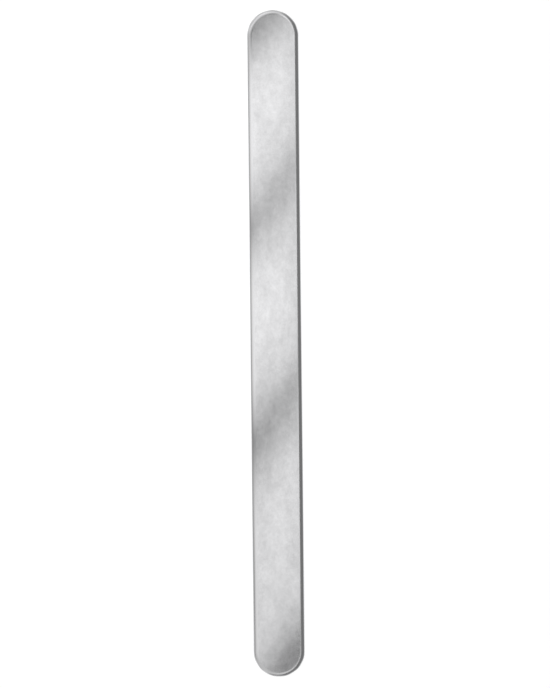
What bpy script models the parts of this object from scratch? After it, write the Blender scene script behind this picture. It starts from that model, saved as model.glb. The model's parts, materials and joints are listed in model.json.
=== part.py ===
"""Malleable spatula: one ribbon of soft stainless steel, bent by hand to the shape that is wanted.

Its sides are parallel, its ends are full half circles, and its edge is ground to a rounded section that
runs all the way round. It lies on its underside: +Y along the ribbon, +X across it, +Z up, with the
origin at the centre of the underside.
"""

from math import cos, pi, sin

import bmesh
import bpy

# Sizes in metres.
LENGTH = 0.330  # tip to tip
WIDTH = 0.0254  # across the parallel sides
THICKNESS = 0.0016  # gauge of the rolled strip
EDGE_REACH = 0.0024  # how far the rounding of the edge runs in from the outline

# Facets.
END_STEPS = 36  # round each half-circle end
EDGE_STEPS = 20  # over the rounded edge, from the underside to the upper face

# Finish.
STEEL_COLOUR = (0.78, 0.78, 0.79, 1.0)
STEEL_METALLIC = 1.0
STEEL_ROUGHNESS = 0.3

# What follows from the sizes.
END_RADIUS = WIDTH / 2
END_CENTRE = LENGTH / 2 - END_RADIUS  # distance of each half circle's centre from the middle of the ribbon
UP = (0.0, 0.0, 1.0)


def clear_objects():
    for item in list(bpy.data.objects):
        bpy.data.objects.remove(item, do_unlink=True)


def satin_steel():
    material = bpy.data.materials.new("satin_steel")
    material.use_nodes = True
    shader = material.node_tree.nodes["Principled BSDF"]
    shader.inputs["Base Color"].default_value = STEEL_COLOUR
    shader.inputs["Metallic"].default_value = STEEL_METALLIC
    shader.inputs["Roughness"].default_value = STEEL_ROUGHNESS
    return material


def edge_section():
    """The half ellipse of the ground edge, from the underside out and up to the upper face.

    Each point is its distance from the ribbon's mid line and its height.
    """
    flat_half_width = END_RADIUS - EDGE_REACH
    half_thickness = THICKNESS / 2
    turns = [pi * step / EDGE_STEPS for step in range(EDGE_STEPS + 1)]
    return [(flat_half_width + EDGE_REACH * sin(turn), half_thickness * (1 - cos(turn))) for turn in turns]


def only(kind, geometry):
    return [item for item in geometry if isinstance(item, kind)]


def turn_round_end(shape, section_edges, centre_y):
    """Spins the section half a turn about the centre of one end and returns its edges where it stops."""
    section_verts = list({vert for edge in section_edges for vert in edge.verts})
    turned = bmesh.ops.spin(
        shape,
        geom=section_verts + section_edges,
        cent=(0.0, centre_y, 0.0),
        axis=UP,
        angle=pi,
        steps=END_STEPS,
    )
    return only(bmesh.types.BMEdge, turned["geom_last"])


def run_along_side(shape, section_edges, travel):
    """Draws the section straight along one side and returns its edges where it stops."""
    drawn = bmesh.ops.extrude_edge_only(shape, edges=section_edges)["geom"]
    verts = only(bmesh.types.BMVert, drawn)
    bmesh.ops.translate(shape, verts=verts, vec=(0.0, travel, 0.0))
    moved = set(verts)
    return [edge for edge in only(bmesh.types.BMEdge, drawn) if moved.issuperset(edge.verts)]


def ribbon_mesh():
    """The edge section drawn once round the outline, closed by the two flat faces."""
    shape = bmesh.new()
    points = [shape.verts.new((across, END_CENTRE, height)) for across, height in edge_section()]
    start = [shape.edges.new(pair) for pair in zip(points, points[1:])]
    far_end = turn_round_end(shape, start, END_CENTRE)
    left_side = run_along_side(shape, far_end, -2 * END_CENTRE)
    near_end = turn_round_end(shape, left_side, -END_CENTRE)
    bmesh.ops.bridge_loops(shape, edges=near_end + start)
    rims = [edge for edge in shape.edges if edge.is_boundary]
    bmesh.ops.holes_fill(shape, edges=rims, sides=0)
    bmesh.ops.recalc_face_normals(shape, faces=shape.faces)
    mesh = bpy.data.meshes.new("blade")
    shape.to_mesh(mesh)
    shape.free()
    mesh.shade_smooth()
    return mesh


def build():
    clear_objects()
    blade = bpy.data.objects.new("blade", ribbon_mesh())
    blade.data.materials.append(satin_steel())
    bpy.context.scene.collection.objects.link(blade)


build()
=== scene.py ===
"""The malleable spatula, flat on a white table in a small light tent, seen from straight above."""

import json
from collections import namedtuple
from math import cos, pi, radians, sin

import bmesh
import bpy
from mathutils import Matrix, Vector


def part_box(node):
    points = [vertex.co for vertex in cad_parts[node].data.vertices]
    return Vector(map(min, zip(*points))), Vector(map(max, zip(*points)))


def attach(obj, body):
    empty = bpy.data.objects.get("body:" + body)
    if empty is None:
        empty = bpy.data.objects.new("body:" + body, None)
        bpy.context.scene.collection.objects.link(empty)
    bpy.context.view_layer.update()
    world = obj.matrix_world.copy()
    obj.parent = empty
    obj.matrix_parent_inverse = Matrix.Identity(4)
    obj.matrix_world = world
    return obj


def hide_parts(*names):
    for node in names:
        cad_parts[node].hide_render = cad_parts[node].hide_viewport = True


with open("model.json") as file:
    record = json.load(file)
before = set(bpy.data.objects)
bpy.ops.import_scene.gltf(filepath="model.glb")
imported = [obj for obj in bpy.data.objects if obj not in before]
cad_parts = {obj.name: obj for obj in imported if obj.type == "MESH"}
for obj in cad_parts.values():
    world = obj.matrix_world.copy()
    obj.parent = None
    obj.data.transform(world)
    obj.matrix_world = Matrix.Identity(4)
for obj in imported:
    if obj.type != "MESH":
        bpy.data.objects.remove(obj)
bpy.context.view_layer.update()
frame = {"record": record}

# Sizes of the blade, in metres. The outer ones come from the frame.
LOW, HIGH = (Vector(corner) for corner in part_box("blade"))
BLADE_SIZE = HIGH - LOW
END_RADIUS = BLADE_SIZE.x / 2
END_CENTRE = BLADE_SIZE.y / 2 - END_RADIUS
THICKNESS = BLADE_SIZE.z
EDGE_REACH = 0.0024
UP = (0.0, 0.0, 1.0)

# The photograph's frame and where the blade lies in it, in pixels.
FRAME_WIDTH, FRAME_HEIGHT = 550, 688
BLADE_LENGTH_PX = 666.8
BLADE_MIDDLE_PX = (276.0, 343.4)
BLADE_LEAN = radians(0.602)
METRES_PER_PX = BLADE_SIZE.y / BLADE_LENGTH_PX


def link(item):
    bpy.context.scene.collection.objects.link(item)
    return item


# Camera

LENS_MM = 120.0
SENSOR_LONG_SIDE_MM = 24.0


def make_camera():
    """Looks straight down, with the blade as large, as high and as upright as in the photograph."""
    data = bpy.data.cameras.new("camera")
    data.lens = LENS_MM
    data.sensor_width = SENSOR_LONG_SIDE_MM
    camera = link(bpy.data.objects.new("camera", data))
    height = FRAME_HEIGHT * METRES_PER_PX * LENS_MM / SENSOR_LONG_SIDE_MM
    right = (FRAME_WIDTH / 2 - BLADE_MIDDLE_PX[0]) * METRES_PER_PX
    up = (BLADE_MIDDLE_PX[1] - FRAME_HEIGHT / 2) * METRES_PER_PX
    camera.location = (right, up, height + THICKNESS / 2)
    camera.rotation_euler = (0.0, 0.0, -BLADE_LEAN)
    bpy.context.scene.camera = camera


# Shader nodes

Pattern = namedtuple("Pattern", "cells detail harshness")
NOISE_MIDDLE = 0.5  # the mean of the noise node


class Wire:
    """One output in a node tree. Python's operators on it add Math nodes."""

    def __init__(self, nodes, socket):
        self.nodes = nodes
        self.socket = socket

    def math(self, operation, *values):
        return self.nodes.add("ShaderNodeMath", {"operation": operation}, dict(enumerate(values)))

    def __add__(self, other):
        return self.math("ADD", self, other)

    def __radd__(self, other):
        return self.math("ADD", other, self)

    def __sub__(self, other):
        return self.math("SUBTRACT", self, other)

    def __rsub__(self, other):
        return self.math("SUBTRACT", other, self)

    def __mul__(self, other):
        return self.math("MULTIPLY", self, other)

    def __rmul__(self, other):
        return self.math("MULTIPLY", other, self)

    def __truediv__(self, other):
        return self.math("DIVIDE", self, other)

    def __rtruediv__(self, other):
        return self.math("DIVIDE", other, self)

    def __neg__(self):
        return self.math("MULTIPLY", self, -1.0)

    def __abs__(self):
        return self.math("ABSOLUTE", self)

    def at_least(self, other):
        return self.math("MAXIMUM", self, other)

    def at_most(self, other):
        return self.math("MINIMUM", self, other)

    def root(self):
        return self.math("SQRT", self)

    def sine(self):
        return self.math("SINE", self)

    def bearing(self, across):
        """The angle of the direction (across, self) from +X."""
        return self.math("ARCTAN2", self, across)

    def step_up(self, start, end):
        """0 below start and 1 above end, with a soft change between them."""
        settings = {"interpolation_type": "SMOOTHSTEP"}
        inputs = {"Value": self, "From Min": start, "From Max": end}
        return self.nodes.add("ShaderNodeMapRange", settings, inputs)

    def between(self, begins, ends):
        """1 from the end of begins to the start of ends and 0 outside both, with soft changes."""
        return self.step_up(*begins) * (1.0 - self.step_up(*ends))


class Nodes:
    """The node tree of one material or of the world."""

    def __init__(self, owner):
        owner.use_nodes = True
        self.tree = owner.node_tree
        self.tree.nodes.clear()

    def add(self, kind, settings=None, inputs=None, output=0):
        """A new node of this kind, as the wire from one of its outputs, or None if it has none."""
        node = self.tree.nodes.new(kind)
        for name, value in (settings or {}).items():
            setattr(node, name, value)
        for name, value in (inputs or {}).items():
            if isinstance(value, Wire):
                self.tree.links.new(value.socket, node.inputs[name])
            else:
                node.inputs[name].default_value = value
        return Wire(self, node.outputs[output]) if node.outputs else None

    def place(self):
        """The object's own coordinates as a vector and as x, y and z."""
        vector = self.add("ShaderNodeTexCoord", output="Object")
        axes = [self.add("ShaderNodeSeparateXYZ", None, {"Vector": vector}, axis) for axis in "XYZ"]
        return vector, *axes

    def noise(self, vector, pattern):
        """Noise around 0 in the given Pattern."""
        scaled = self.add("ShaderNodeMapping", None, {"Vector": vector, "Scale": pattern.cells})
        inputs = {
            "Vector": scaled,
            "Scale": 1.0,
            "Detail": pattern.detail,
            "Roughness": pattern.harshness,
        }
        return self.add("ShaderNodeTexNoise", None, inputs) - NOISE_MIDDLE

    def show(self, shader, kind="ShaderNodeOutputMaterial"):
        """Sends a shader to the tree's own output."""
        self.add(kind, None, {"Surface": shader})

    def glow(self, strength):
        """Light of one white, as strong as the given number or wire."""
        return self.add("ShaderNodeEmission", None, {"Color": strength, "Strength": 1.0})


def new_material(name):
    material = bpy.data.materials.new(name)
    return material, Nodes(material)


# Steel

SLOT = "satin_steel"
TINT = next(entry["base_color"] for entry in frame["record"]["materials"] if entry["slot"] == SLOT)
FACE_ROUGHNESS = 0.21
RIM_ROUGHNESS = 0.15
# Where the satin starts and where it is full, as shares of the rounded edge's reach.
SATIN_START, SATIN_FULL = 0.85, 1.05
# The finish's patterns: their cells a metre across the blade, along it and through it, how many
# times finer cells are added, and how strong those are.
MOTTLE = Pattern(cells=(230.0, 180.0, 230.0), detail=4.0, harshness=0.8)
STREAK = Pattern(cells=(170.0, 42.0, 170.0), detail=1.0, harshness=0.5)
BRUSH = Pattern(cells=(2600.0, 70.0, 2600.0), detail=3.0, harshness=0.5)
GRAIN = Pattern(cells=(5200.0, 3600.0, 5200.0), detail=2.0, harshness=0.5)
# How much each of them changes the colour, the roughness and the relief.
MOTTLE_SHADE, STREAK_SHADE, BRUSH_SHADE = 0.54, 0.2, 0.03
MOTTLE_ROUGHNESS, BRUSH_ROUGHNESS = 0.05, 0.06
BRUSH_RELIEF, GRAIN_RELIEF = 0.5, 0.35
RELIEF_DEPTH = 0.000004


def satin_steel():
    """Fine satin on the two faces and a polish on the ground edge."""
    material, nodes = new_material(SLOT)
    vector, x, y, _ = nodes.place()
    beyond = (abs(y) - END_CENTRE).at_least(0.0)
    from_outline = END_RADIUS - (x * x + beyond * beyond).root()
    face = from_outline.step_up(EDGE_REACH * SATIN_START, EDGE_REACH * SATIN_FULL)

    mottle = nodes.noise(vector, MOTTLE)
    streak = nodes.noise(vector, STREAK)
    brush = nodes.noise(vector, BRUSH)
    grain = nodes.noise(vector, GRAIN)

    shade = 1.0 + face * (MOTTLE_SHADE * mottle + STREAK_SHADE * streak + BRUSH_SHADE * brush)
    colour = nodes.add(
        "ShaderNodeVectorMath", {"operation": "SCALE"}, {0: tuple(TINT[:3]), "Scale": shade}
    )
    uneven = MOTTLE_ROUGHNESS * mottle + BRUSH_ROUGHNESS * brush
    roughness = RIM_ROUGHNESS + face * (FACE_ROUGHNESS - RIM_ROUGHNESS + uneven)
    height = face * (GRAIN_RELIEF * grain + BRUSH_RELIEF * brush)
    relief = nodes.add(
        "ShaderNodeBump", None, {"Strength": 1.0, "Distance": RELIEF_DEPTH, "Height": height}
    )
    shader = nodes.add(
        "ShaderNodeBsdfPrincipled",
        None,
        {"Base Color": colour, "Metallic": 1.0, "Roughness": roughness, "Normal": relief},
    )
    nodes.show(shader)
    return material


# The blade

END_STEPS = 96
EDGE_STEPS = 32
FACE_INSET = 0.0004


def only(kind, geometry):
    return [item for item in geometry if isinstance(item, kind)]


def edge_section():
    """The half ellipse of the ground edge, as distance from the mid line and height."""
    turns = [pi * step / EDGE_STEPS for step in range(EDGE_STEPS + 1)]
    inner = END_RADIUS - EDGE_REACH
    return [(inner + EDGE_REACH * sin(turn), THICKNESS / 2 * (1 - cos(turn))) for turn in turns]


def turn_round_end(shape, section_edges, centre_y):
    """Spins the section half a turn about one end's centre and returns its edges where it stops."""
    verts = list({vert for edge in section_edges for vert in edge.verts})
    turned = bmesh.ops.spin(
        shape,
        geom=verts + section_edges,
        cent=(0.0, centre_y, 0.0),
        axis=UP,
        angle=pi,
        steps=END_STEPS,
    )
    return only(bmesh.types.BMEdge, turned["geom_last"])


def run_along_side(shape, section_edges, travel):
    """Draws the section straight along one side and returns its edges where it stops."""
    drawn = bmesh.ops.extrude_edge_only(shape, edges=section_edges)["geom"]
    verts = only(bmesh.types.BMVert, drawn)
    bmesh.ops.translate(shape, verts=verts, vec=(0.0, travel, 0.0))
    moved = set(verts)
    return [edge for edge in only(bmesh.types.BMEdge, drawn) if moved.issuperset(edge.verts)]


def finished_object(shape, name, material):
    """Turns a bmesh into an object at the origin, with its one material."""
    mesh = bpy.data.meshes.new(name)
    shape.to_mesh(mesh)
    shape.free()
    mesh.materials.append(material)
    return link(bpy.data.objects.new(name, mesh))


def make_blade(material):
    """The edge section drawn once round the outline and closed by two flat faces."""
    shape = bmesh.new()
    points = [shape.verts.new((across, END_CENTRE, height)) for across, height in edge_section()]
    start = [shape.edges.new(pair) for pair in zip(points, points[1:])]
    far_end = turn_round_end(shape, start, END_CENTRE)
    left_side = run_along_side(shape, far_end, -2 * END_CENTRE)
    near_end = turn_round_end(shape, left_side, -END_CENTRE)
    bmesh.ops.bridge_loops(shape, edges=near_end + start)
    rims = [edge for edge in shape.edges if edge.is_boundary]
    faces = bmesh.ops.holes_fill(shape, edges=rims, sides=0)["faces"]
    bmesh.ops.recalc_face_normals(shape, faces=shape.faces)
    bmesh.ops.inset_region(shape, faces=faces, thickness=FACE_INSET)
    blade = finished_object(shape, "ribbon", material)
    blade.data.shade_smooth()
    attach(blade, "root")
    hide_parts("blade")


# Table

WHITE = (1.0, 1.0, 1.0, 1.0)
FLOOR_HALF = 20.0
FLOOR_DROP = 0.0001  # keeps the table's top just clear of the underside
FLOOR_COLOUR = (0.9, 0.9, 0.9, 1.0)
# The light that only rays of sight get from the table, and its share there.
FLOOR_GLOW = 1.48
FLOOR_GLOW_SHARE = 0.55


def seen_directly(nodes):
    """1 for rays from the camera and for those that polished metal or glass sends on, else 0."""
    names = ("Is Camera Ray", "Is Glossy Ray", "Is Transmission Ray")
    camera, glossy, transmission = (nodes.add("ShaderNodeLightPath", output=name) for name in names)
    return camera.at_least(glossy).at_least(transmission)


def make_floor():
    """A white table top that is clear from below, so that the underside can be looked at."""
    material, nodes = new_material("white_table")
    matt = nodes.add("ShaderNodeBsdfDiffuse", None, {"Color": FLOOR_COLOUR})
    lit = nodes.add("ShaderNodeEmission", None, {"Color": WHITE, "Strength": FLOOR_GLOW})
    share = FLOOR_GLOW_SHARE * seen_directly(nodes)
    white = nodes.add("ShaderNodeMixShader", None, {0: share, 1: matt, 2: lit})
    clear = nodes.add("ShaderNodeBsdfTransparent")
    below = nodes.add("ShaderNodeNewGeometry", output="Backfacing")
    nodes.show(nodes.add("ShaderNodeMixShader", None, {0: below, 1: white, 2: clear}))
    shape = bmesh.new()
    bmesh.ops.create_grid(shape, x_segments=1, y_segments=1, size=FLOOR_HALF)
    bmesh.ops.translate(shape, verts=shape.verts, vec=(0.0, 0.0, -FLOOR_DROP))
    finished_object(shape, "table", material)


# Light tent. Left is -X and right is +X, near is -Y and far is +Y.


def light_only(item):
    """Keeps a part of the tent out of sight and lets the room's light through it."""
    item.visible_camera = False
    item.visible_shadow = False


WALL_RADIUS = 0.9
WALL_COLUMNS, WALL_ROWS = 48, 24
WALL_HIGH = (0.38, 0.6)  # the heights, as shares of the radius, where low cloth goes over into high
LOW_LIGHT = 0.74
FOLDS = 15
FOLD_LIGHT = 0.2
HIGH_LIGHT = 0.38
CORNER_LIGHT = 0.42  # what the two high corners on the left have more
CORNERS = (0.45, 1.0)
DARK_LIGHT = 0.2
DARK_TOWARDS = radians(-14)
DARK_SIDE = (0.0, 0.45)
LEAST_OUT = 0.001


def make_wall():
    """The tent's wall: pale folds of cloth low down, greyer above, and unlit high on the right."""
    material, nodes = new_material("tent_wall")
    _, x, y, z = nodes.place()
    out = (x * x + y * y).root().at_least(LEAST_OUT)
    low = LOW_LIGHT + FOLD_LIGHT * (FOLDS * y.bearing(x)).sine()
    corner = -2.0 * x * abs(y) / (out * out)  # 1 towards far left and near left, -1 on the right
    upper = HIGH_LIGHT + CORNER_LIGHT * corner.step_up(*CORNERS)
    side = (cos(DARK_TOWARDS) * x + sin(DARK_TOWARDS) * y) / out
    unlit = side.step_up(*DARK_SIDE)
    high = (z / WALL_RADIUS).step_up(*WALL_HIGH)
    nodes.show(nodes.glow(low + high * (upper - low + (DARK_LIGHT - upper) * unlit)))
    shape = bmesh.new()
    bmesh.ops.create_uvsphere(
        shape, u_segments=WALL_COLUMNS, v_segments=WALL_ROWS, radius=WALL_RADIUS
    )
    light_only(finished_object(shape, "tent", material))


ROOF_HEIGHT = 0.08
ROOF_LEFT, ROOF_RIGHT = -0.08, 0.023
ROOF_NEAR, ROOF_FAR = -0.195, 0.25
ROOF_SKEW = 0.045  # how much further out the near left corner is
ROOF_CORNER = 0.022
CORNER_STEPS = 12

# The light of the roof's cloth, and how it changes along the roof and across it.
ROOF_LIGHT = 0.968
ALONG_RISE, ALONG_BOW = 0.64, 2.463
ACROSS_FADE, ACROSS_TURN = 1.624, 9.933
PLAIN_LEFT = -0.011  # left of this line it changes along the roof alone

# Where the cloth is duller, and by what share of its light. A pair says where that begins and where
# it is full, and a stretch along the roof is a pair for its start and a pair for its end.
LEFT_FADE = 0.36
LEFT_FADES = (0.02, 0.08)
NEAR_FADE = 0.8  # how much more of the left fade there is in the near stretch
NEAR_STRETCH = (0.06, 0.13), (0.172, 0.2)
FAR_FADE = 0.2
FAR_FADES = (0.212, 0.235)
PATCH_FADE = 0.2
PATCH_FADES = (0.025, 0.05)
PATCH_STRETCH = (0.125, 0.16), (0.163, 0.182)
SEAM_FADE = 0.2  # a seam along the cloth, with its line and how far it reaches to each side
SEAM_LINE, SEAM_REACH = 0.0115, 0.004
SEAM_STRETCH = (-0.06, -0.025), (0.09, 0.115)

# A round spot of the cloth: its place, how far it reaches, and the share of the light that it adds
# in its middle.
Spot = namedtuple("Spot", "across along reach gain")
SPOTS = (
    Spot(across=0.0145, along=0.1815, reach=0.009, gain=0.7),
    Spot(across=-0.046, along=0.199, reach=0.024, gain=-0.35),
    Spot(across=-0.01, along=0.162, reach=0.014, gain=-0.17),
    Spot(across=-0.01, along=0.068, reach=0.017, gain=-0.14),
)

# A soft, slanted gap between the lamps above the cloth: its place along the roof, its slant, the
# share of the light that it takes, how far it reaches down and up, and how much of its reach down it
# gains with each metre to the left.
Gap = namedtuple("Gap", "place slant depth down up wider_left")
GAPS = (
    Gap(place=0.0743, slant=1.26, depth=0.566, down=0.0385, up=0.0445, wider_left=9.0),
    Gap(place=-0.0361, slant=1.32, depth=0.668, down=0.0482, up=0.0419, wider_left=11.46),
)
# The gap near each end of the roof. Both close towards the left, the far one sooner past its
# middle.
END_GAPS = (
    Gap(place=0.1738, slant=1.19, depth=0.8, down=0.0356, up=0.157, wider_left=0.0),
    Gap(place=-0.1722, slant=1.39, depth=1.0, down=0.0419, up=0.0325, wider_left=0.0),
)
END_GAPS_CLOSE = (-0.062, -0.015)
SOONER_CLOSED = 0.02
SOONER_FROM = (0.158, 0.178)

# The roof's border, where its gaps are shallower: by what share, and where it begins on each side.
BORDER_SHARE = 0.72
BORDER_RIGHT = (0.013, 0.0175)
BORDER_NEAR = (0.1735, 0.179)
BORDER_FAR = (0.18, 0.205)
BORDER_FAR_RIGHT = (0.1745, 0.181)
FAR_RIGHT = (-0.003, 0.014)


def cloth_light(x, y, across):
    """The light of the roof's cloth where no gap is."""
    aslant = y - across
    light = ROOF_LIGHT * (1.0 + aslant * (ALONG_RISE - ALONG_BOW * aslant))
    light = light * (1.0 - ACROSS_FADE * across * (1.0 + ACROSS_TURN * y))

    left_fade = LEFT_FADE * (1.0 + NEAR_FADE * (-y).between(*NEAR_STRETCH))
    light = light * (1.0 - left_fade * (-x).step_up(*LEFT_FADES))
    light = light * (1.0 - FAR_FADE * y.step_up(*FAR_FADES))
    patch = (-x).step_up(*PATCH_FADES) * y.between(*PATCH_STRETCH)
    light = light * (1.0 - PATCH_FADE * patch)
    seam = (1.0 - abs(x - SEAM_LINE) / SEAM_REACH).at_least(0.0) * y.between(*SEAM_STRETCH)
    light = light * (1.0 - SEAM_FADE * seam)

    for spot in SPOTS:
        off_across, off_along = x - spot.across, y - spot.along
        distance = (off_across * off_across + off_along * off_along).root()
        light = light * (1.0 + spot.gain * (1.0 - distance / spot.reach).at_least(0.0))
    return light


def lit_past_gap(across, along, gap):
    """What one gap leaves of the light: 1 well clear of it and least on its middle line."""
    past = along - gap.slant * across - gap.place
    reach_down = gap.down * (1.0 - gap.wider_left * across)
    rise = (1.0 + past / reach_down).at_least(0.0).at_most(1.0)
    fall = (1.0 - past / gap.up).at_least(0.0).at_most(1.0)
    inside = rise * fall
    return 1.0 - gap.depth * inside * inside


def roof_border(x, y):
    """1 in the border of the roof and 0 inside it."""
    border = x.step_up(*BORDER_RIGHT)
    border = border.at_least((-y).step_up(*BORDER_NEAR))
    border = border.at_least(y.step_up(*BORDER_FAR_RIGHT) * x.step_up(*FAR_RIGHT))
    return border.at_least(y.step_up(*BORDER_FAR))


def lit_past_gaps(x, y, across):
    """What all the gaps together leave of the light."""
    lit = 1.0
    for gap in GAPS:
        lit = lit * lit_past_gap(across, y, gap)
    still_open = (x - SOONER_CLOSED * y.step_up(*SOONER_FROM)).step_up(*END_GAPS_CLOSE)
    for gap in END_GAPS:
        lit = lit * (1.0 - still_open * (1.0 - lit_past_gap(across, y, gap)))
    return lit + BORDER_SHARE * roof_border(x, y) * (1.0 - lit)


def make_roof():
    """The lit roof of the tent, with soft slanted gaps that the satin faces reflect as bands."""
    material, nodes = new_material("tent_roof")
    _, x, y, _ = nodes.place()
    across = x.at_least(PLAIN_LEFT)
    nodes.show(nodes.glow(cloth_light(x, y, across) * lit_past_gaps(x, y, across)))

    shape = bmesh.new()
    bmesh.ops.create_grid(shape, x_segments=1, y_segments=1, size=0.5)
    size = (ROOF_RIGHT - ROOF_LEFT, ROOF_FAR - ROOF_NEAR, 1.0)
    bmesh.ops.scale(shape, verts=shape.verts, vec=size)
    middle = ((ROOF_LEFT + ROOF_RIGHT) / 2, (ROOF_NEAR + ROOF_FAR) / 2, ROOF_HEIGHT)
    bmesh.ops.translate(shape, verts=shape.verts, vec=middle)
    near_left = min(shape.verts, key=lambda vert: vert.co.x + vert.co.y)
    bmesh.ops.translate(shape, verts=[near_left], vec=(0.0, -ROOF_SKEW, 0.0))
    bmesh.ops.bevel(
        shape,
        geom=list(shape.verts),
        offset=ROOF_CORNER,
        segments=CORNER_STEPS,
        profile=0.5,
        affect="VERTICES",
        material=-1,
    )
    light_only(finished_object(shape, "tent_roof", material))


def make_world():
    """A plain white room round the tent."""
    world = bpy.data.worlds.new("white_room")
    bpy.context.scene.world = world
    nodes = Nodes(world)
    background = nodes.add("ShaderNodeBackground", None, {"Color": WHITE, "Strength": 1.0})
    nodes.show(background, "ShaderNodeOutputWorld")


make_camera()
make_blade(satin_steel())
make_floor()
make_wall()
make_roof()
make_world()
bpy.context.scene.view_settings.view_transform = "Standard"
